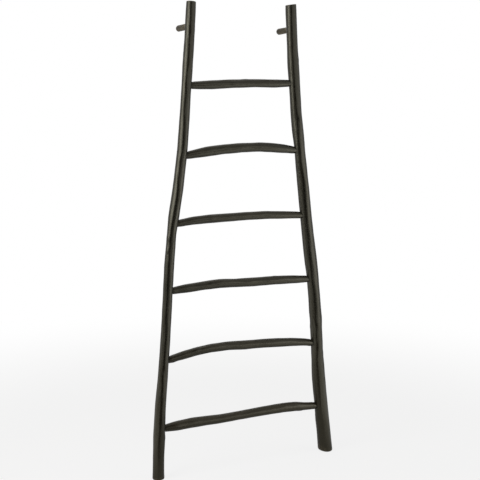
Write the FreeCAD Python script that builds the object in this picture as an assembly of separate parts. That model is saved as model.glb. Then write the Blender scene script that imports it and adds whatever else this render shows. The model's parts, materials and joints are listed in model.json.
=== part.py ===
import FreeCAD, Part
import math
import os

from FreeCAD import Vector

# A blanket ladder made from peeled poles, as it stands against a wall: two crooked stiles that
# spread towards the floor, six whittled rungs, and two pegs that hold the top off the wall.
# Every rung ends in a round tenon, glued into a blind mortise and locked with a wooden pin
# from the back. Millimetres, +Z up, +Y towards the wall, +X to the right as seen from the front.
# The pieces are shaped in the plane of the ladder, with Z along it, and then leant back.

# ---- overall size and stance
stile_length = 1830.0        # floor to sawn top, along the ladder
foot_spread = 747.5          # between the stiles' centres at the floor
top_spread = 429.0           # between the stiles' centres at the top
top_shift = 33.5             # the middle of the top stands this far to the right of the feet's
lean_angle = 3.0             # degrees back from upright

# ---- poles
left_stile_diameter = 40.0
right_stile_diameter = 48.0
stile_bow = 18.0             # the most that a stile wanders off its straight line
rung_diameter = 35.0
rung_rise = 30.0             # the most that a rung arches above the line of its tenons
rung_shoulder_diameter = 27.5  # where a rung meets its stile
stile_flats = 12             # flats that the drawknife leaves round a stile
rung_flats = 10              # and round a thinner rung
pole_oval = 0.018            # out of round, as a share of the radius
pole_lobe = 0.014            # three soft corners, likewise

# ---- rung places
first_rung_height = 196.0
top_rung_drop = 314.0        # from the stiles' tops to the highest rung

# ---- rung joints
tenon_diameter = 22.0
tenon_past_centre = 5.0      # how far a tenon reaches past its stile's centre line
tenon_root = 45.0            # how far a tenon runs back into its rung, from the centre line
glue_gap = 0.15              # round a tenon, in its hole
glue_pocket = 1.0            # beyond a tenon's tip
shoulder_gap = 0.1           # between a coped shoulder and its stile

# ---- locking pins, whittled with flats that bite in their round holes
pin_diameter = 6.0           # across the corners of its flats
pin_flats = 8
pin_inboard = 6.0            # from the stile's centre line towards the rung
pin_gap = 0.05
pin_proud = 0.6              # how far a pin's head stands out of the stile's back
pin_past_centre = 6.0        # how far a pin reaches past its tenon's centre line

# ---- wall pegs
peg_diameter = 24.5
peg_shoulder_diameter = 21.0  # where a peg meets its stile
peg_pared_length = 36.0      # from the stile's centre line to where the peg is left round
peg_pared_depth = 0.5        # how deep the paring ends under the round
peg_flats = 8                # round the pared part
wall_setback = 200.0         # from the line through the feet to the wall
peg_tenon_diameter = 16.0
peg_tenon_depth = 9.0        # past the stile's centre line, towards the front
peg_tenon_root = 50.0        # how far it runs back into the peg, from that line
peg_bevel = 2.5

# ---- sawn ends
top_bevel = 2.5
foot_bevel = 3.5

# The poles as they grew. A stile's row is: share of its length, wander to the right and to the
# back as shares of stile_bow, and girth as a share of its diameter. The first row is below the
# floor and the last is above the top, because both ends are sawn off.
left_growth = [
    (-0.020, 0.10, 0.00, 1.200),
    (0.030, -0.28, 0.00, 1.150),
    (0.100, -0.59, 0.05, 1.110),
    (0.155, -0.70, 0.10, 1.050),
    (0.210, -0.60, 0.15, 0.980),
    (0.300, -0.56, 0.22, 0.975),
    (0.375, -0.68, 0.25, 0.935),
    (0.450, -0.86, 0.20, 0.965),
    (0.520, -0.82, 0.10, 0.900),
    (0.560, -0.60, 0.02, 1.065),
    (0.610, -0.18, -0.08, 1.025),
    (0.700, 0.26, -0.20, 0.990),
    (0.800, 0.14, -0.22, 0.965),
    (0.900, 0.14, -0.12, 1.000),
    (0.960, 0.06, -0.05, 0.950),
    (1.020, -0.03, 0.02, 0.890),
]
right_growth = [
    (-0.020, 0.08, 0.00, 1.260),
    (0.030, -0.05, 0.00, 1.220),
    (0.100, -0.20, -0.05, 1.155),
    (0.170, -0.32, -0.10, 1.135),
    (0.225, -0.21, -0.13, 1.065),
    (0.265, -0.07, -0.15, 1.030),
    (0.300, 0.10, -0.15, 1.080),
    (0.360, 0.15, -0.14, 1.000),
    (0.400, 0.11, -0.13, 1.025),
    (0.435, -0.01, -0.12, 1.090),
    (0.500, -0.26, -0.10, 0.995),
    (0.600, -0.43, -0.02, 0.960),
    (0.690, -0.59, 0.05, 0.910),
    (0.725, -0.64, 0.08, 0.960),
    (0.765, -0.72, 0.10, 0.920),
    (0.870, -0.50, 0.14, 0.965),
    (0.910, -0.38, 0.12, 0.910),
    (1.020, 0.08, -0.02, 0.890),
]

# A rung's row is: share of the way from left to right, arch as a share of rung_rise, and girth
# as a share of rung_diameter. The first two numbers are how far its left and right ends were
# set above the even pitch. From the floor up:
rung_growth = [
    (0.0, 0.0, [(0.04, 0.03, 0.835), (0.10, 0.11, 1.065), (0.20, 0.21, 1.085),
                (0.36, 0.18, 1.015), (0.50, 0.29, 1.030), (0.64, 0.39, 1.045),
                (0.76, 0.41, 1.085), (0.84, 0.30, 1.080), (0.90, 0.15, 0.915),
                (0.96, 0.04, 0.825)]),
    (1.0, 1.0, [(0.045, 0.15, 0.81), (0.12, 0.45, 0.93), (0.20, 0.75, 0.97),
                (0.29, 0.97, 0.985), (0.40, 1.00, 0.97), (0.51, 0.86, 1.04),
                (0.62, 0.79, 0.995), (0.73, 0.67, 1.03), (0.83, 0.49, 0.97),
                (0.91, 0.28, 0.89), (0.96, 0.12, 0.80)]),
    (6.5, 4.0, [(0.045, 0.07, 0.81), (0.12, 0.19, 0.94), (0.24, 0.35, 0.97),
                (0.35, 0.44, 1.04), (0.45, 0.34, 1.00), (0.60, 0.28, 0.995),
                (0.78, 0.21, 1.01), (0.88, 0.11, 0.95), (0.955, 0.03, 0.80)]),
    (-0.5, 2.0, [(0.05, 0.12, 0.80), (0.13, 0.27, 0.935), (0.25, 0.39, 0.985),
                 (0.40, 0.42, 0.955), (0.55, 0.44, 0.935), (0.70, 0.37, 0.935),
                 (0.83, 0.23, 0.89), (0.95, 0.07, 0.81)]),
    (-4.5, 0.5, [(0.05, 0.11, 0.81), (0.13, 0.25, 0.995), (0.21, 0.42, 1.075),
                 (0.35, 0.62, 1.045), (0.50, 0.71, 1.045), (0.65, 0.70, 1.065),
                 (0.78, 0.49, 1.08), (0.86, 0.32, 1.03), (0.95, 0.10, 0.79)]),
    (-1.5, 5.0, [(0.05, 0.00, 0.825), (0.15, 0.00, 0.96), (0.22, 0.02, 1.005),
                 (0.42, 0.08, 0.955), (0.62, 0.07, 0.925), (0.80, -0.02, 0.935),
                 (0.95, 0.00, 0.81)]),
]
left_peg_drop = 92.5        # from the stile's top to its peg's centre
right_peg_drop = 98.5

right = Vector(1, 0, 0)
back = Vector(0, 1, 0)
up = Vector(0, 0, 1)
room = 3000.0                # a block this big is cut away at the floor and at the wall
pole_room = 60.0             # a pole runs on this far past a sawn end before it is sawn


# ---- shapes that the pieces share
def unit(vector):
    """The vector's direction, one long."""
    return vector * (1.0 / vector.Length)


def rod(start, direction, length, diameter):
    """A plain round bar."""
    return Part.makeCylinder(diameter / 2, length, start, direction)


def ring(centre, across, over, radius, flats):
    """The corners of one cross-section of a shaved pole: a little oval, softly three-cornered."""
    corners = []
    for number in range(flats):
        angle = 2 * math.pi * number / flats
        reach = radius * (1 + pole_oval * math.cos(2 * angle - 1)
                          + pole_lobe * math.cos(3 * angle + 1))
        corners.append(centre + across * (reach * math.cos(angle)) + over * (reach * math.sin(angle)))
    return corners


def plane_face(corners):
    """A flat face with straight edges through the given corners."""
    return Part.Face(Part.makePolygon(corners + corners[:1]))


def pole(rows, across, over, flats, grow=0.0):
    """A shaved pole through rows of centre and radius; grow makes it that much stouter.

    Its cross-sections are alike and parallel, so that every flat between two rows is a plane.
    """
    rings = [ring(centre, across, over, radius + grow, flats) for centre, radius in rows]
    faces = [plane_face(rings[0]), plane_face(rings[-1])]
    for low, high in zip(rings, rings[1:]):
        for number in range(flats):
            beside = (number + 1) % flats
            faces.append(plane_face([low[number], low[beside], high[beside], high[number]]))
    shell = Part.makeShell(faces)
    shell.sewShape()
    solid = Part.Solid(shell)
    if solid.Volume < 0:
        solid.reverse()
    return solid


def ease_rim(solid, direction, width):
    """Bevel the rim of the flat end that faces the given direction."""
    ends = []
    for face in solid.Faces:
        if isinstance(face.Surface, Part.Plane) and face.normalAt(0, 0).dot(direction) > 0.99:
            ends.append(face)
    end = max(ends, key=lambda face: face.Area)
    return solid.makeChamfer(width, end.OuterWire.Edges)


# ---- the stiles
class Stile:
    """One pole of the pair, from its growth table and the ends of its straight line."""

    def __init__(self, growth, diameter, foot, top, inward):
        self.inward = inward
        self.rows = []
        for share, side, rear, girth in growth:
            wander = (right * side + back * rear) * stile_bow
            self.rows.append((foot + (top - foot) * share + wander, girth * diameter / 2))

    def centre(self, height):
        """The point of the centre line at a height along the ladder."""
        for (low, _), (high, _) in zip(self.rows, self.rows[1:]):
            if height <= high.z:
                break
        return low + (high - low) * ((height - low.z) / (high.z - low.z))

    def blank(self, grow=0.0):
        """The whole pole with nothing cut in it, from just below the floor to above the top."""
        return pole(self.rows, right, back, stile_flats, grow)


left_stile = Stile(left_growth, left_stile_diameter, right * (-foot_spread / 2),
                   right * (top_shift - top_spread / 2) + up * stile_length, 1)
right_stile = Stile(right_growth, right_stile_diameter, right * (foot_spread / 2),
                    right * (top_shift + top_spread / 2) + up * stile_length, -1)


# ---- rungs, their tenons and their pins
def rung_blank(left_end, right_end, growth):
    """A rung's pole from one stile's centre line to the other's, before its ends are cut."""
    shoulder = rung_shoulder_diameter / rung_diameter
    rows = []
    for share, arch, girth in [(0.0, 0.0, shoulder)] + growth + [(1.0, 0.0, shoulder)]:
        centre = left_end + (right_end - left_end) * share + up * (arch * rung_rise)
        rows.append((centre, girth * rung_diameter / 2))
    return pole(rows, back, up, rung_flats)


def tenon(centre, inward, clearance=0.0):
    """A round tenon that starts inside its rung, or with a clearance the blind hole for it."""
    start = centre + inward * tenon_root
    length = tenon_root + tenon_past_centre + (glue_pocket if clearance else 0.0)
    return rod(start, inward * -1, length, tenon_diameter + 2 * clearance)


def pin_tip(centre, inward):
    """Where a locking pin ends, inside its tenon."""
    return centre + inward * pin_inboard - back * pin_past_centre


def pin_hole(centre, inward):
    """The hole for a locking pin, bored from the back into the tenon."""
    return rod(pin_tip(centre, inward), back, pole_room, pin_diameter + 2 * pin_gap)


def locking_pin(centre, inward, stile_skin):
    """A pin driven in from the back, its head pared off just proud of the stile."""
    tip = pin_tip(centre, inward)
    corners = []
    for number in range(pin_flats):
        angle = 2 * math.pi * number / pin_flats
        corners.append(tip + (right * math.cos(angle) + up * math.sin(angle)) * (pin_diameter / 2))
    return plane_face(corners).extrude(back * pole_room).common(stile_skin)


# ---- wall pegs
def peg_tenon(centre, clearance=0.0):
    """The thinner end of a peg, or with a clearance the blind hole that it is glued into."""
    start = centre + back * peg_tenon_root
    length = peg_tenon_root + peg_tenon_depth + (glue_pocket if clearance else 0.0)
    return rod(start, back * -1, length, peg_tenon_diameter + 2 * clearance)


def wall_peg(centre, stile_skin):
    """A round peg that springs square from a stile's back, pared to a coped shoulder there."""
    round_start = centre + back * peg_pared_length
    pared = pole([(centre, peg_shoulder_diameter / 2),
                  (round_start, peg_diameter / 2 - peg_pared_depth)], right, up, peg_flats)
    body = pared.cut(stile_skin).fuse(rod(round_start, back, wall_setback, peg_diameter))
    return body.fuse(peg_tenon(centre)).removeSplitter()


# ---- standing the ladder up
def lean(shape):
    """Lean a piece back about the line through the feet."""
    leant = shape.copy()
    leant.rotate(Vector(0, 0, 0), right, -lean_angle)
    return leant


def saw_at_top(bored, stile):
    """Saw a stile off square to its length at the top and ease the edge."""
    centre = stile.centre(stile_length)
    along = unit(centre - stile.centre(stile_length - pole_room))
    above = rod(centre, along, pole_room, room)
    return ease_rim(bored.cut(above), along, top_bevel)


def saw_at_floor(stile):
    """Saw a leant stile off level with the floor and ease the edge."""
    ground = Part.makeBox(room, room, room, Vector(-room / 2, -room / 2, -room))
    return ease_rim(stile.cut(ground), up * -1, foot_bevel)


def saw_at_wall(peg):
    """Saw a leant peg off plumb, so that its end bears flat on the wall, and ease the edge."""
    wall = Part.makeBox(room, room, room, Vector(-room / 2, wall_setback, 0))
    return ease_rim(peg.cut(wall), back, peg_bevel)


# ---- build: rungs with their pins, then pegs, then the stiles with every hole bored
sides = {"left": left_stile, "right": right_stile}
peg_drop = {"left": left_peg_drop, "right": right_peg_drop}
holes = {"left": [], "right": []}
shoulder_skin = {side: stile.blank(shoulder_gap) for side, stile in sides.items()}
pin_skin = {side: stile.blank(pin_proud) for side, stile in sides.items()}
rung_pitch = (stile_length - top_rung_drop - first_rung_height) / (len(rung_growth) - 1)

pieces = {}
for number, (left_set, right_set, growth) in enumerate(rung_growth):
    name = "rung_%d" % (number + 1)
    height = first_rung_height + number * rung_pitch
    ends = {"left": left_stile.centre(height + left_set),
            "right": right_stile.centre(height + right_set)}
    chord = unit(ends["right"] - ends["left"])
    rung = rung_blank(ends["left"], ends["right"], growth)
    for side, stile in sides.items():
        end = ends[side]
        inward = chord * stile.inward
        bored = pin_hole(end, inward)
        holes[side] += [tenon(end, inward, glue_gap), bored]
        rung = rung.cut(shoulder_skin[side]).fuse(tenon(end, inward)).cut(bored)
        pin = locking_pin(end, inward, pin_skin[side])
        pieces["%s_%s_pin" % (name, side)] = lean(pin)
    pieces[name] = lean(rung)

for side, stile in sides.items():
    centre = stile.centre(stile_length - peg_drop[side])
    holes[side].append(peg_tenon(centre, glue_gap))
    peg = wall_peg(centre, shoulder_skin[side])
    pieces["%s_wall_peg" % side] = saw_at_wall(lean(peg))
    bored = stile.blank().cut(holes[side])
    pieces["%s_stile" % side] = saw_at_floor(lean(saw_at_top(bored, stile)))

# ---- put the origin on the floor, under the middle of the whole ladder
bounds = Part.makeCompound(list(pieces.values())).optimalBoundingBox(False, False)
middle = Vector(bounds.Center.x, bounds.Center.y, 0)
os.makedirs("parts", exist_ok=True)
for name, shape in pieces.items():
    shape.translate(middle * -1)
    if len(shape.Solids) != 1 or not shape.isValid():
        raise ValueError("%s is not one sound solid" % name)
    shape.Solids[0].exportStep("parts/%s.step" % name)
    print("%-20s volume %10.0f mm3, faces %d" % (name, shape.Volume, len(shape.Faces)))
print("size %.1f x %.1f x %.1f mm" % (bounds.XLength, bounds.YLength, bounds.ZLength))
print("origin moved by", middle * -1)
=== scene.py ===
# %% [markdown]
# # A rustic blanket ladder
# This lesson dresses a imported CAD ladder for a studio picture. The real ladder is made of peeled
# poles: two crooked stiles, six whittled rungs and two wall pegs, all under one near-black stain.
# The CAD model already holds every piece at its true size and place, but its poles are made of
# flats. Here each pole gets the rounder, livelier skin of real wood, and then its finish.

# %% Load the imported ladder
import json
import math

import bmesh
import bpy
import numpy as np
from mathutils import Matrix, Vector, noise
from mathutils.bvhtree import BVHTree

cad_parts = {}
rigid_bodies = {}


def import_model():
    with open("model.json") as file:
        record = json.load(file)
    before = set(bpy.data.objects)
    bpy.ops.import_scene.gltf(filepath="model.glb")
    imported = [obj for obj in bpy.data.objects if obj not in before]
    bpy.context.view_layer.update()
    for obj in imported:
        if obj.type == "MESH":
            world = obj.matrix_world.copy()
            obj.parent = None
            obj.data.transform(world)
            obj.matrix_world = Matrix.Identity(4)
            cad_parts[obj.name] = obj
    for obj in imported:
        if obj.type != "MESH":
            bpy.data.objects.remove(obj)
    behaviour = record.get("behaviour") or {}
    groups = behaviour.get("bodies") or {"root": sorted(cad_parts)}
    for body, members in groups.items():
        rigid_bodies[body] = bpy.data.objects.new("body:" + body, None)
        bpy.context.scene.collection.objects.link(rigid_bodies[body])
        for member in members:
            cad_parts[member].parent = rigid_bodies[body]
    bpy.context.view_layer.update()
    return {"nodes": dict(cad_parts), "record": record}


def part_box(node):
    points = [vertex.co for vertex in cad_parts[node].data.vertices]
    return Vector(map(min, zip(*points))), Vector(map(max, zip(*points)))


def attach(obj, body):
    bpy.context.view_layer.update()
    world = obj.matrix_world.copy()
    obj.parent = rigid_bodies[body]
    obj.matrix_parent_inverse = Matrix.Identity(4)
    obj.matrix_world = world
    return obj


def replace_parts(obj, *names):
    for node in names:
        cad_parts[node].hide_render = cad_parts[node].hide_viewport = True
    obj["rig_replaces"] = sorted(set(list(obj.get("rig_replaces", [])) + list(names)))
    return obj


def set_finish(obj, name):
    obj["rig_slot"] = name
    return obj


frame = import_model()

# %% [markdown]
# ## Which way the ladder leans
# The ladder leans back a few degrees, so nothing in it is quite upright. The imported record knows
# the lean: the wall pegs stand square to the ladder, and each peg's mount gives its direction.
# Reading the direction there is safer than writing the angle down again, because it follows
# the CAD model if the lean is ever changed.

# %% Directions of the ladder
mounts = {mount["name"]: mount for mount in frame["record"]["mounts"]}
RIGHT = Vector((1, 0, 0))
BACK = Vector(mounts["left_peg"]["axis"]).normalized()
ALONG = RIGHT.cross(BACK)
print("the ladder leans back", round(math.degrees(math.asin(ALONG.y)), 3), "degrees")

# %% [markdown]
# ## Reading a pole back from its flats
# A crooked pole has no formula, so its path has to come from somewhere. It could be drawn again
# by hand, but it would then drift away from the CAD piece that carries the joints. Instead each
# pole is felt from outside: at many stations along it, rays are shot inwards from all round, and
# where they land gives the skin. A ray that falls into a mortise or a pin hole lands too deep or
# on a wall that faces the wrong way. Such a ray is left out, and its neighbours fill the place.

# %% Feel one section of a pole
RAYS = 48            # directions round a pole
FACING = 0.8         # how squarely a hit has to face its ray


def ray_fan(across, over):
    """The directions round a pole, from across towards over."""
    angles = [2 * math.pi * k / RAYS for k in range(RAYS)]
    return [across * math.cos(a) + over * math.sin(a) for a in angles]


def feel(tree, centre, fan, reach, least):
    """The skin's distance from the centre in each direction, or nan where a ray goes astray."""
    found = []
    for direction in fan:
        place, normal, _, distance = tree.ray_cast(centre + direction * reach, -direction, reach)
        good = place is not None and normal.dot(direction) > FACING and reach - distance > least
        found.append(reach - distance if good else math.nan)
    return np.array(found)


print("rays in a fan:", len(ray_fan(RIGHT, BACK)))


# %% Walk along a pole and keep what was felt
def walk(node, start, directions, length, step, reach, least):
    """Centres and skin distances at even stations of a CAD node, from start along its length.

    The directions are along, across and over the pole. A ray starts at reach from the centre and
    counts if it lands further out than least.
    """
    along, across, over = directions
    mesh = frame["nodes"][node].data
    tree = BVHTree.FromPolygons([v.co for v in mesh.vertices],
                                [p.vertices for p in mesh.polygons])
    fan = ray_fan(across, over)
    flat_fan = np.array([(d.dot(across), d.dot(over)) for d in fan])
    centres, skins, drift = [], [], Vector((0, 0, 0))
    centre = start.copy()
    for _ in range(int(length / step) + 1):
        for _ in range(2):
            skin = feel(tree, centre, fan, reach, least)
            whole = not np.isnan(skin).any()
            if whole:
                shift = (skin[:, None] * flat_fan).mean(axis=0) * 2
                centre += across * shift[0] + over * shift[1]
        if whole and centres:
            drift = centre - centres[-1]
        centres.append(centre.copy())
        skins.append(skin)
        centre = centre + (drift if centres[1:] else along * step)
        centre += along * (step - (centre - centres[-1]).dot(along))
    return np.array(centres), np.array(skins)


# %% [markdown]
# ## Smoothing what was felt
# The felt skin still has the CAD model's flats and its kinks between them. A drawknife leaves
# flats too, but softer ones. Averaging each reading with its neighbours, weighted by a bell curve,
# softens both, and a missing reading simply has no weight. This could be done on the mesh with
# smoothing steps, but there a hole's rim would be smoothed as well, and the pole would shrink.

# %% Fill and smooth the readings
LEAST_KNOWN = 0.05   # the share of the bell that has to fall on good readings


def bell(width):
    """The weights of a bell curve, width readings wide to each side of its middle."""
    steps = np.arange(-int(3 * width) - 1, int(3 * width) + 2)
    weights = np.exp(-0.5 * (steps / max(width, 1e-6)) ** 2)
    return steps, weights / weights.sum()


def smooth_round(skins, width):
    """Average each section's skin with its neighbours round the pole."""
    total, weight = np.zeros_like(skins), np.zeros_like(skins)
    known = ~np.isnan(skins)
    for step, share in zip(*bell(width)):
        total += share * np.roll(np.where(known, skins, 0), step, axis=1)
        weight += share * np.roll(known, step, axis=1)
    return np.where(weight > LEAST_KNOWN, total / np.maximum(weight, 1e-9), math.nan)


def fill_along(skins):
    """Bridge what is missing in a straight line along the pole."""
    stations = np.arange(len(skins))
    filled = skins.copy()
    for column in filled.T:
        known = ~np.isnan(column)
        column[~known] = np.interp(stations[~known], stations[known], column[known])
    return filled


def smooth_along(values, width):
    """Average each station with its neighbours along the pole; straight runs stay as they are."""
    steps, weights = bell(width)
    pad = len(steps) // 2
    head = 2 * values[:1] - values[pad:0:-1]
    tail = 2 * values[-1:] - values[-2:-pad - 2:-1]
    padded = np.concatenate([head, values, tail])
    return sum(w * padded[k:k + len(values)] for k, w in enumerate(weights))


print("bell of 1.5 readings:", [round(float(w), 3) for w in bell(1.5)[1]])


# %% A skin that is read anywhere
class Skin:
    """A pole's centre line and skin, read anywhere between its stations.

    soft_round is in degrees, soft_along in metres, and round_out carries the skin out from the
    flats' mean distance towards their corners.
    """

    def __init__(self, centres, skins, step, soft_round, soft_along, directions, round_out):
        self.step = step
        self.centres = smooth_along(centres, soft_along / step)
        skins = fill_along(smooth_round(skins, soft_round / 360 * RAYS))
        self.skins = smooth_along(skins, soft_along / step) * round_out
        self.along, self.across, self.over = (np.array(v) for v in directions)
        self.length = step * (len(centres) - 1)

    def radius(self, station, angle):
        """The skin's distance from the centre line."""
        row = np.clip(station / self.step, 0, len(self.skins) - 1.001)
        low = row.astype(int)
        column = angle / (2 * math.pi) * RAYS % RAYS
        left = column.astype(int) % RAYS
        beside = (left + 1) % RAYS
        part = column - column.astype(int)
        near = self.skins[low, left] * (1 - part) + self.skins[low, beside] * part
        far = self.skins[low + 1, left] * (1 - part) + self.skins[low + 1, beside] * part
        return near + (far - near) * (row - low)

    def centre(self, station):
        """The centre line, carried on straight past the first and last stations."""
        row = np.asarray(station) / self.step
        low = np.clip(row.astype(int), 0, len(self.centres) - 2)
        ahead = self.centres[low + 1] - self.centres[low]
        return self.centres[low] + ahead * (row - low)[:, None]

    def point(self, station, radius, angle):
        """The place at a station, a radius and an angle."""
        out = np.cos(angle)[:, None] * self.across + np.sin(angle)[:, None] * self.over
        return self.centre(station) + out * radius[:, None]

    def above(self, points):
        """How far points stand out from the skin, and how far along the pole they are."""
        station = (points - self.centres[0]) @ self.along
        off = points - self.centre(station)
        aside, ahead = off @ self.across, off @ self.over
        angle = np.arctan2(ahead, aside) % (2 * math.pi)
        return np.hypot(aside, ahead) - self.radius(station, angle), station

    def reach_plane(self, start, radius, angle, place, normal):
        """The station at which each line along the pole, at its radius and angle, meets a plane."""
        station = start.copy()
        for _ in range(4):
            off = (self.point(station, radius, angle) - place) @ normal
            station = station - off / (self.along @ normal)
        return station


# %% [markdown]
# ## What a drawknife and a branch leave behind
# Close to, a peeled pole is never smooth. The drawknife leaves long shallow flats that wander round
# the pole, the wood swells and dips a little every hand's breadth, and a low boss with a faint ring
# stays where a branch was trimmed. A picture of such a surface could be wrapped on as a texture,
# but shape that shows at an edge has to be in the mesh, so these are added to the felt skin.

# %% Sizes of the marks
KNIFE = 0.00045      # how deep a flat is cut below its ridges
BOSS = 0.0009        # how proud a trimmed branch stands
OVAL = 0.026         # how far from round a section is, as a share of its radius
WANDER, WANDER_RUN = 0.9, 0.11      # the flats wander this far round, in radians, over this length
TWIST, TWIST_RUN = 2.4, 0.21        # and so does the oval
RIPPLE_SHARE, RIPPLE_RUN = 0.6, 0.045    # a quicker swell lies over the slow one
BITE_RUN = 0.07      # the knife bites deeper and shallower over this length
KNOT_ENDS = (0.06, 0.94)            # the shares of the length between which branches grew
KNOT_SIZES = (0.0055, 0.0085)
KNOT_CLEAR = 0.04    # a joint is never cut this close to a knot
KNOT_EDGE = 9        # past this many squared sizes a knot has faded


# %% The marks on one pole
class Marks:
    """The knife's flats, the swells and the trimmed branches of one pole, in metres.

    kind gives the pole's seed, flats, knots and swell; number tells poles of a kind apart.
    """

    def __init__(self, kind, number, length, joints):
        seed = kind["seed"] + number
        self.offset = Vector((seed * 7.31, seed * 3.77, seed * 5.13))
        self.flats, self.swell = kind["flats"], kind["swell"]
        self.knots = []
        chance = np.random.default_rng(seed)
        while len(self.knots) < kind["knots"]:
            place = chance.uniform(*KNOT_ENDS) * length
            size = chance.uniform(*KNOT_SIZES)
            if all(abs(place - joint) > KNOT_CLEAR for joint in joints):
                self.knots.append((place, chance.uniform(0, 2 * math.pi), size))

    def drift(self, stream, angle, spin, station, run):
        """Noise between -1 and 1 that changes over a run; spin is how it changes round the pole."""
        round_about = Vector((math.cos(angle), math.sin(angle), 0)) * spin
        return noise.noise(self.offset * stream + round_about + Vector((0, 0, station / run)))

    def knot(self, station, angle, radius):
        """How much of a knot is here, from 0 to 1."""
        most = 0.0
        for place, side, size in self.knots:
            aside = ((angle - side + math.pi) % (2 * math.pi) - math.pi) * radius
            spread = (aside ** 2 + (0.7 * (station - place)) ** 2) / size ** 2
            if spread < KNOT_EDGE:
                most = max(most, math.exp(-spread))
        return most

    def at(self, station, angle, radius):
        """How far the skin rises here, and how much of a knot is here."""
        slow = self.drift(1, angle, 0.5, station, WANDER_RUN)
        ripple = self.drift(2, angle, 0.9, station, RIPPLE_RUN)
        bite = 0.6 + 0.5 * self.drift(3, angle, 1.4, station, BITE_RUN)
        turned = (angle + WANDER * slow) * self.flats / (2 * math.pi)
        off_middle = 2 * abs(turned % 1 - 0.5)
        rise = KNIFE * bite * (off_middle ** 2 - 0.4) + self.swell * (slow + RIPPLE_SHARE * ripple)
        turn = TWIST * self.drift(4, angle, 0, station, TWIST_RUN)
        oval = math.cos(2 * (angle + turn)) + 0.5 * math.cos(3 * (angle - 1.3 * turn))
        knot = self.knot(station, angle, radius)
        return rise + OVAL * radius * oval + BOSS * min(knot * 1.5, 1.0), knot


sample = Marks({"seed": 1, "flats": 10, "knots": 3, "swell": 0.0006}, 0, 1.0, [])
print("marks at a sample point:", [round(v, 5) for v in sample.at(0.5, 1.0, 0.02)])

# %% [markdown]
# ## From readings to a mesh
# A pole is a tube whose two ends are sawn, each in its own plane: the feet level with the floor,
# the tops nearly square to the pole, the pegs plumb. One way is to make a long tube and cut it at
# each plane. Here every line along the tube is instead stretched from one plane to the other, so
# the ends come out flat and the rings crowd together at the rim, where the edge is rounded over.
# The tube starts as a bmesh cone with equal ends, and subdividing its long edges gives the rings.

# %% A tube with rings
RIM_SHARES = (0, 0.04, 0.12, 0.26, 0.45, 0.7)    # where rings crowd together across a rim


def ring_places(length, spacing, rims):
    """Shares of the length where rings go: close together at both rims, even between them."""
    middle = np.linspace(rims[0], length - rims[1], round((length - sum(rims)) / spacing))
    low = [rims[0] * share for share in RIM_SHARES]
    high = [length - rims[1] * share for share in reversed(RIM_SHARES)]
    return np.array(low + list(middle) + high) / length


def blank_tube(rings, segments):
    """A tube with that many rings and a cap of its own material at each end."""
    bm = bmesh.new()
    bmesh.ops.create_cone(bm, cap_ends=True, segments=segments, radius1=1, radius2=1, depth=1)
    long_edges = [e for e in bm.edges if abs(e.verts[0].co.z - e.verts[1].co.z) > 0.5]
    bmesh.ops.subdivide_edges(bm, edges=long_edges, cuts=rings - 2, use_grid_fill=True)
    for pick in (min, max):
        pick(bm.faces, key=lambda f: f.calc_center_median().z).material_index = 1
    return bm


def tube_numbers(bm, rings):
    """The ring of each vertex, counted from the low end, and its angle round the tube."""
    ring = np.array([round((v.co.z + 0.5) * (rings - 1)) for v in bm.verts])
    angle = np.array([math.atan2(v.co.y, v.co.x) % (2 * math.pi) for v in bm.verts])
    return ring, angle


print("rings on a metre of pole:", len(ring_places(1.0, 0.0035, (0.006, 0.0028))))


# %% Turn a bmesh into a piece
def finish_mesh(name, bm, attributes):
    """Turn a bmesh into an object at the origin, with its own attributes for the materials."""
    volume = bm.calc_volume(signed=True)
    mesh = bpy.data.meshes.new(name)
    bm.to_mesh(mesh)
    bm.free()
    for key, values in attributes.items():
        kind, field = ("FLOAT_VECTOR", "vector") if values.ndim == 2 else ("FLOAT", "value")
        layer = mesh.attributes.new(key, kind, "POINT")
        layer.data.foreach_set(field, values.astype(np.float32).ravel())
    piece = bpy.data.objects.new(name, mesh)
    bpy.context.scene.collection.objects.link(piece)
    print("%-16s %6d faces, %7.2f cm3" % (name, len(mesh.polygons), volume * 1e6))
    return piece


# %% [markdown]
# ## Stretching the tube over the skin
# Each vertex keeps its ring and its angle, and moves to where the skin is there. The marks fade
# towards a sawn end, as a saw leaves a clean edge. Then the rims are rounded over, and the lines
# are stretched between the two planes once more, at the radius they have in the end. A pole that
# is made about left-handed directions comes out inside out, so its faces are turned back where
# its volume is negative, which is surer than having Blender guess the outside of a long thin rod.

# %% Dress one pole
QUIET, QUIET_SHARE = 0.03, 0.25     # this close to an end the marks fade to this share
WEAR_AND_HIGHLIGHT_RIMS = 2.2      # the band at an end that is worn, and partly a painted rim highlight, is this many rims long


def round_rim(radius, rim, distance):
    """The radius once a rim of that size is rounded over, at a distance from the end."""
    inside = np.clip(1 - distance / rim, 0, 1)
    return radius - rim * (1 - np.sqrt(np.clip(1 - inside ** 2, 0, 1)))


def rim_wear_and_highlight(distance, rim):
    """How much wear and painted rim highlight there is at a distance from an end, from 1 down to 0.
    """
    return np.clip(1 - distance / (WEAR_AND_HIGHLIGHT_RIMS * rim), 0, 1)


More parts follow.
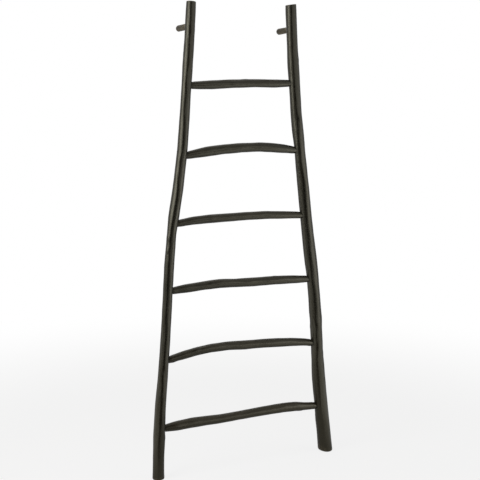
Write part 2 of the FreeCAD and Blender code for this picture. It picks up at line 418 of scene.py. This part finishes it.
def dress_pole(name, skin, marks, low_end, high_end, kind, chip=None):
    """A mesh object of one pole, from its skin, its marks and the planes of its two ends.

    kind gives its rims, rings and wear; chip is the side and depth of a low corner rubbed away.
    """
    rims = kind["rims"]
    chip_side, chip_depth = chip or (0.0, 0.0)
    places = ring_places(skin.length, kind["spacing"], (rims[0] + chip_depth, rims[1]))
    bm = blank_tube(len(places), kind["segments"])
    ring, angle = tube_numbers(bm, len(places))

    def stretch(first, last, low_radius, high_radius):
        first = skin.reach_plane(first, low_radius, angle, *low_end)
        last = skin.reach_plane(last, high_radius, angle, *high_end)
        return first, last, first + (last - first) * places[ring]

    first, last = np.zeros(len(ring)), np.full(len(ring), skin.length)
    first, last, station = stretch(first, last, skin.radius(first, angle),
                                   skin.radius(last, angle))
    radius = skin.radius(station, angle)
    raised, knots = np.array([marks.at(*spot) for spot in zip(station, angle, radius)]).T
    fade = np.clip((station - first) / QUIET, 0, 1) * np.clip((last - station) / QUIET, 0, 1)
    radius += raised * (QUIET_SHARE + (1 - QUIET_SHARE) * fade)
    low_rim = rims[0] + chip_depth * np.clip(np.cos(angle - chip_side), 0, 1) ** 2
    radius = round_rim(radius, low_rim, station - first)
    radius = round_rim(radius, rims[1], last - station)
    first, last, station = stretch(first, last, radius, radius)
    for vert, place in zip(bm.verts, skin.point(station, radius, angle)):
        vert.co = place
    if bm.calc_volume(signed=True) < 0:
        bmesh.ops.reverse_faces(bm, faces=bm.faces)
    for face in bm.faces:
        face.smooth = face.material_index == 0
    # the band at each sawn rim is wear, and partly a painted highlight where the rounded edge would
    # catch the light
    worn = np.maximum(rim_wear_and_highlight(station - first, low_rim), rim_wear_and_highlight(last - station, rims[1]))
    return finish_mesh(name, bm, {
        "pole": np.stack([radius * np.cos(angle), radius * np.sin(angle), station], axis=1),
        "knot": knots, "worn": np.maximum(worn, kind["wear"])})


# %% [markdown]
# ## The two stiles
# A stile is a pole as thick as a wrist at the floor, thinner at the top, with a kink wherever the
# tree changed its mind. It is walked from the floor up. Its ends are the CAD model's own planes:
# the floor, and the sawn top, which is found as the large face that looks along the pole. The
# right stile's top was sawn a little askew and the inner corner of its foot is worn away, so both
# are taken off inside the CAD model's size.

# %% Planes that the ladder is sawn to
LOOKS_THAT_WAY = 0.98     # the cosine that still counts as facing a direction


def sawn_face(node, looking):
    """The middle and the direction of the largest flat end of a CAD node that looks that way."""
    ends = {}
    for face in frame["nodes"][node].data.polygons:
        if face.normal.dot(looking) > LOOKS_THAT_WAY:
            key = tuple(round(v, 2) for v in face.normal), round(face.normal.dot(face.center), 4)
            area, middle, normal = ends.get(key, (0.0, Vector(), face.normal.copy()))
            ends[key] = (area + face.area, middle + face.center * face.area, normal)
    area, middle, normal = max(ends.values(), key=lambda end: end[0])
    return np.array(middle / area), np.array(normal)


def between(low_end, high_end, along, insets):
    """Where a walk between two sawn ends starts, and how long it is, inset from both."""
    start = Vector(low_end[0]) + along * insets[0]
    return start, (Vector(high_end[0]) - start).dot(along) - insets[1]


def node_middle(node):
    """The middle of a CAD node's box."""
    low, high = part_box(node)
    return (low + high) / 2


rungs = sorted(name for name in frame["nodes"] if name.startswith("rung_") and "pin" not in name)
sides = ("left", "right")
for side in sides:
    middle, normal = sawn_face(side + "_stile", ALONG)
    print(side, "stile's top", np.round(middle, 4), "faces", np.round(normal, 3))

# %% What a kind of pole is
def felt_skin(node, start, length, directions, kind):
    """The skin of a CAD pole, felt and softened as its kind asks."""
    centres, skins = walk(node, start, directions, length,
                          kind["step"], kind["reach"], kind["least"])
    print(node, "%.3f m long, %d missing readings" % (length, int(np.isnan(skins).sum())))
    return Skin(centres, skins, kind["step"], kind["soft_round"], kind["soft_along"],
                directions, kind["round_out"])


STILE = {
    "step": 0.006,           # between the stations where it is felt
    "reach": 0.06,           # where its rays start
    "least": 0.012,          # and how near the centre they may land
    "insets": (0.008, 0.006),     # the walk starts over the floor and stops under the top
    "soft_round": 11,        # how far its flats are softened round it, in degrees
    "soft_along": 0.012,     # and along it
    "round_out": 1.026,      # from the flats' mean distance out to near their corners
    "segments": 64,
    "spacing": 0.0035,       # between its rings
    "rims": (0.006, 0.0028),
    "seed": 11,
    "flats": 11,
    "knots": 9,
    "swell": 0.0007,         # how far the wood swells and dips
    "wear": 0.0,
}
print("a stile is felt every", STILE["step"], "m")

# %% Where a stile is sawn and worn
CHIPS = {"left": None, "right": (math.radians(195), 0.011)}    # the right foot's inner corner
SANDED = 0.0002                 # what sanding takes off a sawn top
SAW_SLANTS = {"left": 0.0, "right": math.radians(5.5)}    # the saw followed the pole's own lean
TOP_HALF = 0.019                # half of a stile's thickness at its top


def stile_top(side):
    """The plane that a stile's top is sawn to, slanted down from the CAD model's own."""
    middle, normal = sawn_face(side + "_stile", ALONG)
    slant = SAW_SLANTS[side]
    drop = SANDED + math.tan(slant) * TOP_HALF
    return middle - normal * drop, normal * math.cos(slant) - np.array(RIGHT) * math.sin(slant)


print("right top's plane:", [np.round(v, 4) for v in stile_top("right")])

# %% Dress the stiles
stiles, stile_skins = {}, {}
for number, side in enumerate(sides):
    node = side + "_stile"
    foot, top = sawn_face(node, Vector((0, 0, -1))), stile_top(side)
    start, length = between(foot, top, ALONG, STILE["insets"])
    skin = felt_skin(node, start, length, (ALONG, RIGHT, BACK), STILE)
    joints = [(node_middle(rung) - start).dot(ALONG) for rung in rungs]
    marks = Marks(STILE, number, length, joints)
    piece = dress_pole(node, skin, marks, foot, top, STILE, chip=CHIPS[side])
    stiles[side], stile_skins[side] = piece, skin
    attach(piece, "root")
    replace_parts(piece, node)
    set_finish(piece, "stained_wood")

# %% [markdown]
# ## The six rungs
# A rung is a thinner pole that was whittled down at both ends. It runs into each stile as a round
# tenon, so it is walked sideways from one tenon's tip to the other's. Where the coped shoulder
# hides the skin from the rays, the readings are bridged, and that place lies inside the stile.
# Blankets have rubbed the rungs a little, so their stain is a touch thinner.

# %% Dress the rungs
RUNG = {
    "step": 0.005, "reach": 0.045, "least": 0.006, "insets": (0.004, 0.004),
    "soft_round": 13, "soft_along": 0.006, "round_out": 1.050,
    "segments": 48, "spacing": 0.0035, "rims": (0.001, 0.001),
    "seed": 31, "flats": 9, "knots": 3, "swell": 0.0011, "wear": 0.12,
}
rung_pieces, rung_skins = {}, {}
for number, node in enumerate(rungs):
    left_tip, right_tip = (sawn_face(node, RIGHT * way) for way in (-1, 1))
    start, length = between(left_tip, right_tip, RIGHT, RUNG["insets"])
    skin = felt_skin(node, start, length, (RIGHT, BACK, ALONG), RUNG)
    marks = Marks(RUNG, number, length, (0, length))
    piece = dress_pole(node, skin, marks, left_tip, right_tip, RUNG)
    rung_pieces[node], rung_skins[node] = piece, skin
    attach(piece, "root")
    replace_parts(piece, node)
    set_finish(piece, "stained_wood")

# %% [markdown]
# ## The two wall pegs
# Each peg is a short round stick, pared where it enters the stile and sawn plumb to bear on the
# wall. It is the same kind of pole, so the same walk and the same tube dress it. The wall has
# rubbed the pegs hard, so their stain is the thinnest.

# %% Dress the pegs
PEG = {
    "step": 0.004, "reach": 0.03, "least": 0.005, "insets": (0.003, 0.005),
    "soft_round": 5, "soft_along": 0.003, "round_out": 1.0,
    "segments": 48, "spacing": 0.003, "rims": (0.001, 0.0025),
    "seed": 51, "flats": 8, "knots": 0, "swell": 0.0005, "wear": 1.5,
}
peg_pieces, peg_skins = {}, {}
for number, side in enumerate(sides):
    node = side + "_wall_peg"
    tip, wall_end = sawn_face(node, -BACK), sawn_face(node, Vector((0, 1, 0)))
    start, length = between(tip, wall_end, BACK, PEG["insets"])
    skin = felt_skin(node, start, length, (BACK, RIGHT, ALONG), PEG)
    marks = Marks(PEG, number, length, ())
    piece = dress_pole(node, skin, marks, tip, wall_end, PEG)
    peg_pieces[side], peg_skins[side] = piece, skin
    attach(piece, "root")
    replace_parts(piece, node)
    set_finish(piece, "stained_wood")

# %% [markdown]
# ## The locking pins
# A thin dowel is driven from behind through every tenon, and its head is pared almost flush with
# the stile's back, so twelve small heads show there. The CAD pins end at the CAD flats, and the
# new skin is rounder than those, so a kept CAD pin would be buried or stand out too far. Each pin
# is made again on the CAD pin's own line, an eight-sided stick with its head's rim bevelled, and
# only its head follows the new skin.

# %% Drive the pins
PIN_RADIUS = 0.003
PIN_SIDES = 8
PIN_PROUD = 0.0009
PIN_BEVEL = 0.0007
turned_back = BACK.to_track_quat("Z", "X").to_matrix().to_4x4()
pins = [name for name in frame["nodes"] if name.endswith("_pin")]
for name in pins:
    skin = stile_skins["left" if "left" in name else "right"]
    low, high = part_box(name)
    middle, half = (low + high) / 2, (high.y - low.y) / 2
    head = half
    for _ in range(6):    # the head moves until it stands as proud as it should
        gap, _ = skin.above(np.array([middle + BACK * head]))
        head += PIN_PROUD - gap[0]
    bm = bmesh.new()
    bmesh.ops.create_cone(bm, cap_ends=True, segments=PIN_SIDES, radius1=PIN_RADIUS,
                          radius2=PIN_RADIUS, depth=half + head)
    bmesh.ops.translate(bm, verts=bm.verts, vec=(0, 0, (head - half) / 2))
    rim = [e for e in bm.edges if min(v.co.z for v in e.verts) > head - 1e-5]
    bmesh.ops.bevel(bm, geom=rim, offset=PIN_BEVEL, affect="EDGES", segments=3, profile=0.5,
                    material=-1)
    bmesh.ops.transform(bm, matrix=Matrix.Translation(middle) @ turned_back, verts=bm.verts)
    piece = finish_mesh(name, bm, {})
    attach(piece, "root")
    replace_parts(piece, name)
    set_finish(piece, "pin_wood")

# %% [markdown]
# ## Painted shade in the joints
# Wherever a rung or a peg meets a stile, the corner is darkened with painted shade, where the
# real shadow would fall. A dark ring could be drawn at each place by hand. It is safer to measure:
# a point of one pole that lies within a few millimetres of the other pole's skin is in a corner.

# %% Measure how close every point is to a joint
JOINT_SHADE_REACH = 0.006          # how far from the corner the painted shade reaches


def mark_joint_shade(piece, skins):
    """Give a piece an attribute of painted shade: 1 in the corner with another pole, 0 away from
    it.
    """
    points = np.array([v.co for v in piece.data.vertices])
    seat = np.zeros(len(points))
    for skin in skins:
        gap, station = skin.above(points)
        beside = (station > 0) & (station < skin.length + skin.step)
        seat = np.maximum(seat, np.clip(1 - np.abs(gap) / JOINT_SHADE_REACH, 0, 1) * beside)
    layer = piece.data.attributes.new("seat", "FLOAT", "POINT")
    layer.data.foreach_set("value", seat.astype(np.float32))
    return int((seat > 0).sum())


peg_count = [mark_joint_shade(piece, stile_skins.values()) for piece in peg_pieces.values()]
rung_count = [mark_joint_shade(piece, stile_skins.values()) for piece in rung_pieces.values()]
stile_count = [mark_joint_shade(stiles[side], [*rung_skins.values(), peg_skins[side]]) for side in sides]
print("points in corners:", peg_count, rung_count, stile_count)

# %% [markdown]
# ## Writing a shader as sums
# A material is a web of nodes, and a long chain of Math nodes is hard to read. A small class that
# wraps one output socket and knows plus, minus and times lets the web be written as sums instead,
# and one method makes every other kind of node.

# %% A socket that knows sums
class Web:
    """One output socket of a node tree, with operators that add Math nodes."""

    def __init__(self, tree, socket=None):
        self.tree = tree
        self.socket = socket

    def node(self, kind, settings=None, output=0, **inputs):
        """Add a node of that kind; inputs are values or links, named or numbered as _0, _1."""
        node = self.tree.nodes.new(kind)
        for key, value in (settings or {}).items():
            setattr(node, key, value)
        for key, value in inputs.items():
            spot = int(key[1:]) if key[0] == "_" and key[1:].isdigit() else key.replace("_", " ")
            self.feed(node.inputs[spot], value)
        return Web(self.tree, node.outputs[output])

    def feed(self, entry, value):
        """Link a socket to an input, or set the input to a value."""
        if isinstance(value, Web):
            self.tree.links.new(value.socket, entry)
        else:
            entry.default_value = value

    def math(self, operation, *values):
        """Add a Math node that works on these values or sockets."""
        inputs = {"_%d" % k: value for k, value in enumerate(values)}
        return self.node("ShaderNodeMath", {"operation": operation}, **inputs)

    def __add__(self, other):
        return self.math("ADD", self, other)

    def __mul__(self, other):
        return self.math("MULTIPLY", self, other)

    def __sub__(self, other):
        return self.math("SUBTRACT", self, other)

    def __rsub__(self, other):
        return self.math("SUBTRACT", other, self)

    __radd__ = __add__
    __rmul__ = __mul__

    def __abs__(self):
        return self.math("ABSOLUTE", self)

    def clamped(self):
        """The value kept between 0 and 1."""
        return self.node("ShaderNodeClamp", Value=self)

    def step(self, low, high):
        """0 below low, 1 above high, and a smooth rise between."""
        return self.node("ShaderNodeMapRange", {"interpolation_type": "SMOOTHSTEP"},
                         Value=self, From_Min=low, From_Max=high)


# %% Helpers for every material
def mix_colours(web, share, first, second):
    """A colour between two colours."""
    node = web.tree.nodes.new("ShaderNodeMix")
    node.data_type = "RGBA"
    for spot, value in ((0, share), (6, first), (7, second)):
        web.feed(node.inputs[spot], value)
    return Web(web.tree, node.outputs[2])


def new_material(name):
    """An empty material and a web to write it with."""
    material = bpy.data.materials.new(name)
    material.use_nodes = True
    material.node_tree.nodes.clear()
    return material, Web(material.node_tree)


def send(web, shader, kind="ShaderNodeOutputMaterial"):
    """Join a shader to the output that is seen."""
    out = web.tree.nodes.new(kind)
    web.tree.links.new(shader.socket, out.inputs["Surface"])


def attribute(web, name, output=2):
    """A piece's own attribute: output 1 is a vector, output 2 a number."""
    return web.node("ShaderNodeAttribute", {"attribute_name": name}, output=output)


def streaks(web, place, across, along, detail):
    """Noise that is fine across the pole and long along it; the sizes are in metres."""
    stretched = web.node("ShaderNodeVectorMath", {"operation": "MULTIPLY"},
                         _0=place, _1=(1 / across, 1 / across, 1 / along))
    return web.node("ShaderNodeTexNoise", {"noise_dimensions": "3D"},
                    Vector=stretched, Scale=1.0, Detail=detail, Roughness=0.6)


# %% [markdown]
# ## The stain
# The poles are stained a brown that is nearly black, then rubbed with a satin wax. The stain
# goes in unevenly: it is darkest in the grain's pores and thinner on ridges, where hands and
# blankets have rubbed it to brown. Round the sawn rims that lighter brown is partly wear and partly
# a painted highlight where the rounded edge would catch the light, and the corners where poles meet
# are darkened with painted shade. The grain follows each pole, so the material reads the "pole"
# attribute, which is the place inside the pole with its bends taken out, and noise that is
# stretched along it gives streaks. The same streaks drive the roughness and the bump.

# %% Colours and sizes of the finish
PORE = (0.0028, 0.0024, 0.0016, 1)
STAIN = (0.0115, 0.0100, 0.0058, 1)
BROWN = (0.0230, 0.0185, 0.0098, 1)
UMBER = (0.0128, 0.0080, 0.0020, 1)     # the warmer stain towards the floor
BARE_WOOD_AND_RIM_HIGHLIGHT = (0.21, 0.17, 0.11, 1)          # bare wood that shows through where it is rubbed; round the sawn rims partly a painted highlight
WAX_TINT = (1.0, 0.96, 0.76, 1)
WAX_SHINE = 0.75
GLOSS_BASE = 0.16
BUMP_STRENGTH, BUMP_HEIGHT = 0.35, 0.0004
UMBER_HEIGHTS = (0.1, 0.8)              # the warmer stain fades between these heights
# each kind of streak has its size across and along the grain, and its detail
HAIR, FINE = (0.00045, 0.012, 2.0), (0.0011, 0.045, 4.0)
BROAD, BLOTCH = (0.012, 0.16, 3.0), (0.05, 0.35, 2.0)


def tinted(web, colour, share, other):
    """The colour with a share of another over it."""
    return mix_colours(web, share.clamped(), colour, other)


print("streaks, in metres:", {"hair": HAIR[:2], "fine": FINE[:2], "broad": BROAD[:2]})


# %% Stain the long sides
def stained_wood():
    """The long sides of every pole."""
    material, web = new_material("stained_wood")
    place = attribute(web, "pole", 1)
    knot, worn, seat = (attribute(web, name) for name in ("knot", "worn", "seat"))
    hair, fine, broad, blotch = (streaks(web, place, *sizes)
                                 for sizes in (HAIR, FINE, BROAD, BLOTCH))
    pores = hair.step(0.56, 0.66)
    colour = mix_colours(web, fine.step(0.40, 0.60), PORE, STAIN)
    colour = tinted(web, colour, broad.step(0.42, 0.7) * 0.55, BROWN)
    colour = tinted(web, colour, blotch.step(0.45, 0.72) * 0.35, BROWN)
    above_floor = web.node("ShaderNodeSeparateXYZ", output=2,
                           Vector=web.node("ShaderNodeTexCoord", output=3))
    colour = mix_colours(web, 1 - above_floor.step(*UMBER_HEIGHTS), colour, UMBER)
    ring = (knot.step(0.12, 0.35) * (1 - knot.step(0.5, 0.8))).clamped()
    colour = tinted(web, colour, ring * 0.7, PORE)
    # lighter brown where the stain is rubbed thin; at the sawn rims it is partly a painted
    # highlight
    rub_and_rim_highlight = worn * (fine.step(0.35, 0.65) * 0.5 + broad.step(0.42, 0.62) * 0.6)
    colour = tinted(web, colour, rub_and_rim_highlight * 0.75, BARE_WOOD_AND_RIM_HIGHLIGHT)
    # painted shade in the corners where poles meet, darkened together with the grain's real pores
    pores_and_joint_shade = web.math("MAXIMUM", seat, pores)
    colour = tinted(web, colour, pores_and_joint_shade * 0.8, PORE)
    gloss = GLOSS_BASE + fine * 0.12 + blotch * 0.10 + worn * 0.15 + pores_and_joint_shade * 0.18
    relief = fine * 0.7 + broad * 0.9 - pores * 0.25
    bump = web.node("ShaderNodeBump", Strength=BUMP_STRENGTH, Distance=BUMP_HEIGHT, Height=relief)
    shader = web.node("ShaderNodeBsdfPrincipled", Base_Color=colour, Roughness=gloss.clamped(),
                      Normal=bump, Specular_Tint=WAX_TINT, Specular_IOR_Level=WAX_SHINE)
    send(web, shader)
    return material


# %% [markdown]
# ## The sawn ends and the pins' heads
# A sawn end shows growth rings and open pores, which drink in more stain and take no shine. Rings
# are the sine of the distance from the pole's heart, bent by a little noise. A pin's head is end
# grain too, but so small that only a few specks show, so plain noise is enough there.

# %% Stain the sawn ends and the pins
RING_TURNS = 2600.0   # radians of growth ring in a metre of radius
RING_BEND = 5.0       # and how far noise bends them, in radians


def dull_wood(web, colour, roughness, bump_height, relief):
    """End grain of a colour, with no shine to speak of."""
    bump = web.node("ShaderNodeBump", Strength=0.3, Distance=bump_height, Height=relief)
    return web.node("ShaderNodeBsdfPrincipled", Base_Color=colour,
                    Roughness=roughness.clamped(), Normal=bump)


def end_grain():
    """The sawn ends: growth rings, saw marks and darker pores, drinking in more stain."""
    material, web = new_material("end_grain")
    place = attribute(web, "pole", 1)
    off_centre = web.node("ShaderNodeVectorMath", {"operation": "MULTIPLY"},
                          _0=place, _1=(1, 1, 0))
    wobble = web.node("ShaderNodeTexNoise", Vector=place, Scale=90.0, Detail=2.0)
    distance = web.node("ShaderNodeVectorMath", {"operation": "LENGTH"}, output=1, _0=off_centre)
    rings = web.math("SINE", distance * RING_TURNS + wobble * RING_BEND)
    grains = web.node("ShaderNodeTexNoise", Vector=place, Scale=1500.0, Detail=3.0)
    colour = mix_colours(web, (rings * 0.5 + 0.5).clamped(), PORE, BROWN)
    colour = tinted(web, colour, grains.step(0.5, 0.75) * 0.5, BARE_WOOD_AND_RIM_HIGHLIGHT)
    send(web, dull_wood(web, colour, 0.62 + grains * 0.15, 0.0004, rings * 0.3 + grains * 0.7))
    return material


def pin_wood():
    """The pared heads of the locking pins, seen end on."""
    material, web = new_material("pin_wood")
    place = web.node("ShaderNodeTexCoord", output=3)
    grains = web.node("ShaderNodeTexNoise", Vector=place, Scale=900.0, Detail=3.0)
    cloud = web.node("ShaderNodeTexNoise", Vector=place, Scale=120.0, Detail=2.0)
    colour = mix_colours(web, grains.step(0.4, 0.65), PORE, BROWN)
    colour = tinted(web, colour, cloud.step(0.4, 0.6) * 0.5, BARE_WOOD_AND_RIM_HIGHLIGHT)
    send(web, dull_wood(web, colour, 0.5 + grains * 0.2, 0.0003, grains))
    return material


# %% Put the finishes on the pieces
side_grain, sawn_grain, pin_grain = stained_wood(), end_grain(), pin_wood()
for piece in [o for o in bpy.context.scene.objects if "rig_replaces" in o]:
    finishes = [pin_grain] if piece["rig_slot"] == "pin_wood" else [side_grain, sawn_grain]
    for finish in finishes:
        piece.data.materials.append(finish)
print("materials:", [m.name for m in (side_grain, sawn_grain, pin_grain)], "pins:", len(pins))

# %% [markdown]
# ## The camera
# The photograph was taken from the ladder's left front, at eye height, with a long lens. Those
# places were found by matching the feet, tops, rungs and pegs of the CAD model to the picture.
# They are written as where the camera stands, how far it is turned and how far it looks down.

# %% Set the camera
CAMERA_PLACE = Vector((-1.8823, -3.8935, 1.573))
TURNED_RIGHT = math.radians(26.0)
LOOKS_DOWN = math.radians(8.82)
LENS, FILM = 82.5, 36.0

camera_data = bpy.data.cameras.new("camera")
camera_data.lens, camera_data.sensor_width = LENS, FILM
camera = bpy.data.objects.new("camera", camera_data)
bpy.context.scene.collection.objects.link(camera)
camera.location = CAMERA_PLACE
camera.rotation_euler = (math.pi / 2 - LOOKS_DOWN, 0, -TURNED_RIGHT)
bpy.context.scene.camera = camera
towards_camera = -Vector((math.sin(TURNED_RIGHT), math.cos(TURNED_RIGHT), 0))
view_right = Vector((math.cos(TURNED_RIGHT), -math.sin(TURNED_RIGHT), 0))
print("camera at", tuple(CAMERA_PLACE), "lens", LENS)

# %% [markdown]
# ## The studio
# A dark satin pole shows the room more than its own colour. In the photograph every stile is
# lighter along both sides and dark down the middle: pale paper stands beside it, and the
# camera's side of the room is dark. So this world is white where the camera looks straight at it.
# In reflections it is pale at the sides, dimmer overhead, dim behind the ladder, so that the
# poles' edges don't glare, and nearly black in a slot ahead. A soft lamp at either side gives the
# long highlights, and a weak one behind and above lifts the pegs and the tops of the rungs.

# %% The white room
ROOM_LEVEL = 0.45     # what the room gives to matt surfaces
DARK_LEVEL = 0.03     # how light the dark slot ahead is in a reflection
BACK_LEVEL = 0.40     # and the room behind the ladder
CEILING_LEVEL = 0.54  # and overhead
SIDE_LEVEL = 0.85     # and at both sides
SLOT_MIDDLE, SLOT_HALF = 0.20, 0.36    # the slot, as a sine to the camera's right


def towards(web, vector, direction):
    """How far a vector goes in a direction."""
    return web.node("ShaderNodeVectorMath", {"operation": "DOT_PRODUCT"}, output=1,
                    _0=vector, _1=tuple(direction))


def seen_how(web):
    """Whether a ray comes from the camera, from a mirror or through glass."""
    return (web.node("ShaderNodeLightPath", output=k) for k in (0, 3, 6))


def dimmed(light, where, level):
    """The light brought down to a level where the mask is 1."""
    return light * (1 - where * (1 - level))


world = bpy.data.worlds.new("studio")
bpy.context.scene.world = world
world.use_nodes = True
world.node_tree.nodes.clear()

room = Web(world.node_tree)
gaze = room.node("ShaderNodeTexCoord", output=0)
aside = abs(towards(room, gaze, view_right) - SLOT_MIDDLE)
ahead = towards(room, gaze, towards_camera)
behind = 0 - ahead
up = towards(room, gaze, (0, 0, 1))
slot = ahead.step(0.05, 0.5) * (1 - aside.step(SLOT_HALF * 0.55, SLOT_HALF * 1.45))
light = 1 - slot * (1 - DARK_LEVEL)
light = dimmed(light, behind.step(0.2, 0.6) * (1 - behind.step(0.78, 0.95)), BACK_LEVEL)
light = dimmed(light, up.step(0.3, 0.6), CEILING_LEVEL)
light = dimmed(light, aside.step(0.4, 0.8), SIDE_LEVEL)
camera_ray, mirror_ray, through_ray = seen_how(room)
direct = room.math("MAXIMUM", camera_ray, through_ray)
level = light * (ROOM_LEVEL + mirror_ray * (1 - ROOM_LEVEL))
strength = level + (1 - level) * direct
send(room, room.node("ShaderNodeBackground", Color=(1, 1, 1, 1), Strength=strength),
     "ShaderNodeOutputWorld")
print("nodes in the room's web:", len(world.node_tree.nodes))

# %% The lamps
MIDDLE = Vector((0, 0, 0.95))


def soft_lamp(name, turned, distance, height, size, power):
    """A soft rectangle of light that looks at the ladder's middle.

    turned is the angle from the camera's direction, in degrees to the camera's right.
    """
    data = bpy.data.lights.new(name, "AREA")
    data.shape, data.size, data.size_y, data.energy = "RECTANGLE", size[0], size[1], power
    lamp = bpy.data.objects.new(name, data)
    bpy.context.scene.collection.objects.link(lamp)
    side = math.radians(turned)
    place = (towards_camera * math.cos(side) + view_right * math.sin(side)) * distance
    place.z = height
    lamp.location = place
    lamp.rotation_euler = (MIDDLE - place).to_track_quat("-Z", "Y").to_euler()
    print("%-14s at" % name, tuple(round(v, 2) for v in place), power, "W")


soft_lamp("left_softbox", -50, 1.5, 1.65, (0.9, 1.5), 11)
soft_lamp("right_softbox", 75, 2.0, 0.9, (1.3, 1.0), 4)
soft_lamp("back_softbox", 180, 1.6, 3.4, (2.4, 1.2), 6)

# %% [markdown]
# ## The floor
# The floor is a wide pale sheet that keeps the ladder's soft shadow. Near the ladder it shows its
# own light and shade; further out it fades into the white of the room, so that no line shows. In
# a reflection it goes on as the room does: dark ahead, dimmer behind and close to the feet.

# %% Lay the floor
FLOOR_REACH = 30.0
bm = bmesh.new()
bmesh.ops.create_grid(bm, x_segments=1, y_segments=1, size=FLOOR_REACH)
mesh = bpy.data.meshes.new("floor")
bm.to_mesh(mesh)
bm.free()
floor = bpy.data.objects.new("floor", mesh)
bpy.context.scene.collection.objects.link(floor)
print("floor", 2 * FLOOR_REACH, "m wide")

# %% Make the floor pale
PAPER = (0.86, 0.85, 0.83, 1)
NEAR_GLOW = 0.84      # how much of its whiteness the floor has of itself, near the ladder
GLOW_REACH = (0.9, 2.8)    # between these distances the floor turns quite white
FLOOR_AHEAD = (1.5, 4.0)   # between these distances ahead its reflection fades to black
FLOOR_BEHIND = (-1.2, -0.2)    # and between these behind it comes up from its level there
FLOOR_BACK = 0.40     # how light it is far behind the ladder in a reflection
FLOOR_CLOSE = 0.4     # and right under the ladder
CLOSE_REACH = (0.25, 1.3)
paper_material, web = new_material("paper_floor")
place = web.node("ShaderNodeTexCoord", output=3)
distance = web.node("ShaderNodeVectorMath", {"operation": "LENGTH"}, output=1, _0=place)
camera_ray, mirror_ray, through_ray = seen_how(web)
direct = (camera_ray + mirror_ray + through_ray).clamped()
ahead = towards(web, place, towards_camera)
aside = abs(towards(web, place, view_right) - ahead * SLOT_MIDDLE)
near = 1 - ahead.step(*FLOOR_AHEAD)
near = near * (FLOOR_BACK + ahead.step(*FLOOR_BEHIND) * (1 - FLOOR_BACK))
stripe = ahead.step(0.3, 1.0) * (1 - aside.step(SLOT_HALF * 0.8, SLOT_HALF * 2.2))
close = FLOOR_CLOSE + distance.step(*CLOSE_REACH) * (1 - FLOOR_CLOSE)
shown = camera_ray + mirror_ray * near * (1 - stripe) * close + through_ray
glow = web.node("ShaderNodeEmission", Color=(1, 1, 1, 1), Strength=shown.clamped())
matt = web.node("ShaderNodeBsdfDiffuse", Color=PAPER)
far = NEAR_GLOW + distance.step(*GLOW_REACH) * (1 - NEAR_GLOW)
send(web, web.node("ShaderNodeMixShader", _0=far * direct, _1=matt, _2=glow))
mesh.materials.append(paper_material)
print("nodes in the floor's web:", len(paper_material.node_tree.nodes))

# %% [markdown]
# ## The last look
# Colours are shown as they are written, with no film look over them, so a measured colour can be
# compared with the photograph's.

bpy.context.scene.view_settings.view_transform = "Standard"
